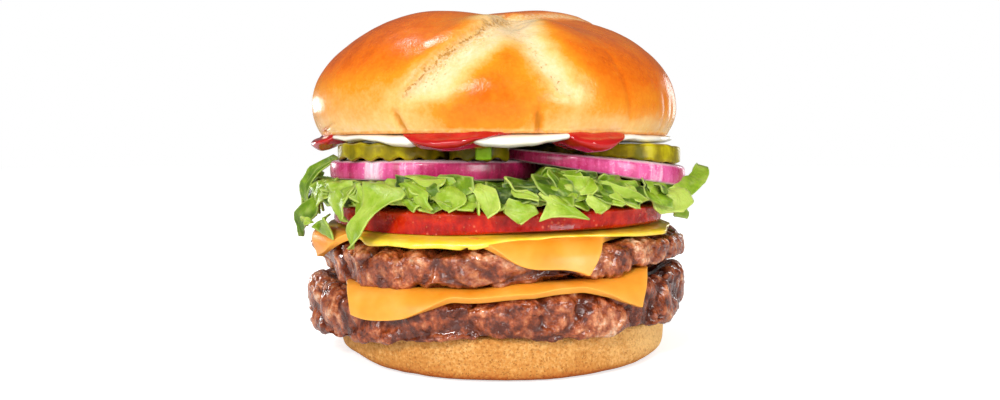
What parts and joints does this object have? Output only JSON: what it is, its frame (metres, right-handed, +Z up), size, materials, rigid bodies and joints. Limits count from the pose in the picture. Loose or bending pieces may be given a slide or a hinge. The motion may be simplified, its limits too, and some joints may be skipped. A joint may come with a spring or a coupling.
{
  "type": "double cheeseburger",
  "caption": "Double cheeseburger: soft glazed bun, seared beef patties with draped cheese, mustard, tomato, lettuce, red onion, pickles, mayonnaise and ketchup.",
  "frame": {"origin": "on the flat underside of the bun's heel, under the stack's axis, on the surface it stands on", "axes": "+Z up through the layers to the crown; -Y is the front, where the hanging cheese corners show; +X to the right seen from the front"},
  "size_m": [0.1124, 0.1048, 0.0893],
  "materials": {
    "bun_crumb_crust": "fine porous toasted crust, matte",
    "bun_glazed_crust": "egg-washed crust, golden to brown, pale along the seams, soft gloss",
    "beef": "seared ground beef, rough and glistening",
    "cheese": "soft processed cheese, satin",
    "mustard": "smooth bright yellow sauce, wet gloss",
    "tomato": "wet cut tomato with skin at the rim",
    "lettuce": "crisp chopped leaf, light green with paler ribs",
    "red_onion": "purple skin side, pale cut faces, moist",
    "pickle": "crinkle-cut gherkin, wet olive yellow",
    "mayonnaise": "thick white sauce, wet gloss",
    "ketchup": "thick red sauce, wet gloss"
  },
  "bodies": {
    "root": {"bun_heel": "bun_crumb_crust", "bun_crown": "bun_glazed_crust", "patty_lower": "beef", "patty_upper": "beef", "cheese_lower": "cheese", "cheese_upper": "cheese", "mustard": "mustard", "tomato_slice": "tomato", "lettuce": "lettuce", "onion_left": "red_onion", "onion_right": "red_onion", "onion_back": "red_onion", "pickle_left": "pickle", "pickle_middle": "pickle", "pickle_right": "pickle", "pickle_back_left": "pickle", "pickle_back_right": "pickle", "mayonnaise": "mayonnaise", "ketchup_left": "ketchup", "ketchup_front": "ketchup", "ketchup_right": "ketchup", "ketchup_back": "ketchup"}
  },
  "joints": []
}
